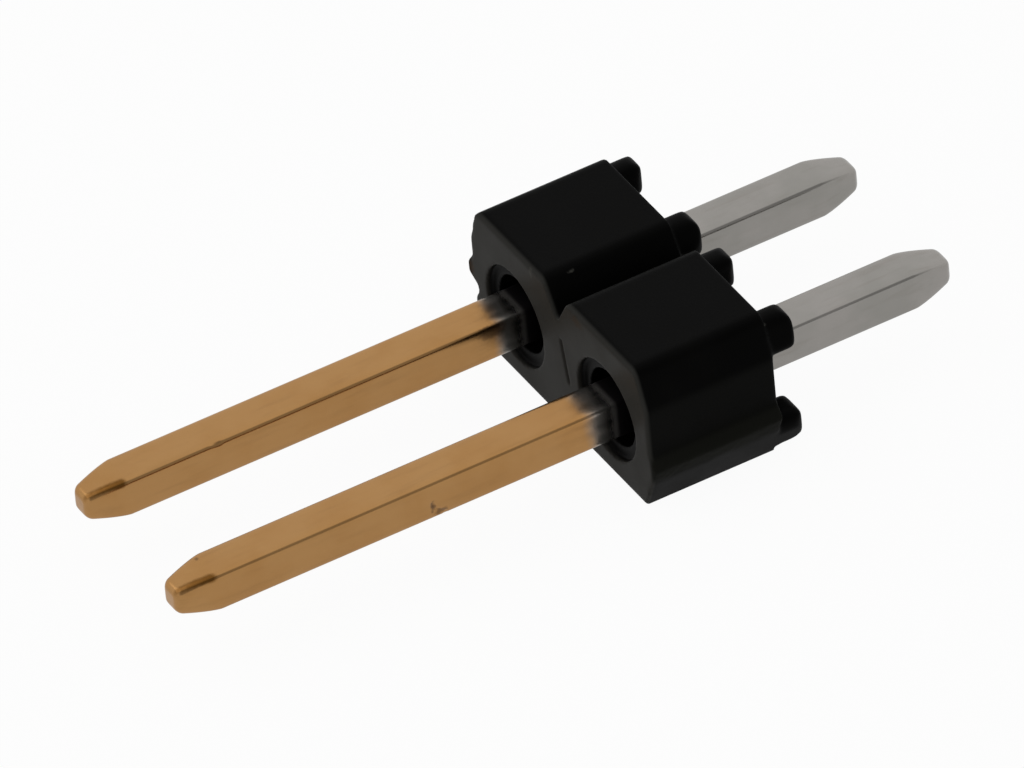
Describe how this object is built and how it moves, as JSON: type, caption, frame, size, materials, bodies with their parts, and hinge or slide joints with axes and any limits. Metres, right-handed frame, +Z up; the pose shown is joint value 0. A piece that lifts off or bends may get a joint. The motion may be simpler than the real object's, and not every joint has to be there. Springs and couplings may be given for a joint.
{
  "type": "pin header strip",
  "caption": "Short straight male pin header: square plated pins pressed through a black moulded insulator with snap notches.",
  "frame": {"origin": "centre of the whole header's box, on the surface that it lies on", "axes": "+X along the pins from the contact tips to the solder tails, +Y along the row from the near position to the far one, +Z up from the side that it lies on"},
  "size_m": [0.0126, 0.0052, 0.0025],
  "materials": {
    "moulded_plastic": "semi-matt black moulded thermoplastic",
    "plated_pin": "satin gold plating on the contact half, satin tin plating on the solder half"
  },
  "bodies": {
    "root": {"housing": "moulded_plastic", "pin_1": "plated_pin", "pin_2": "plated_pin"}
  },
  "joints": []
}
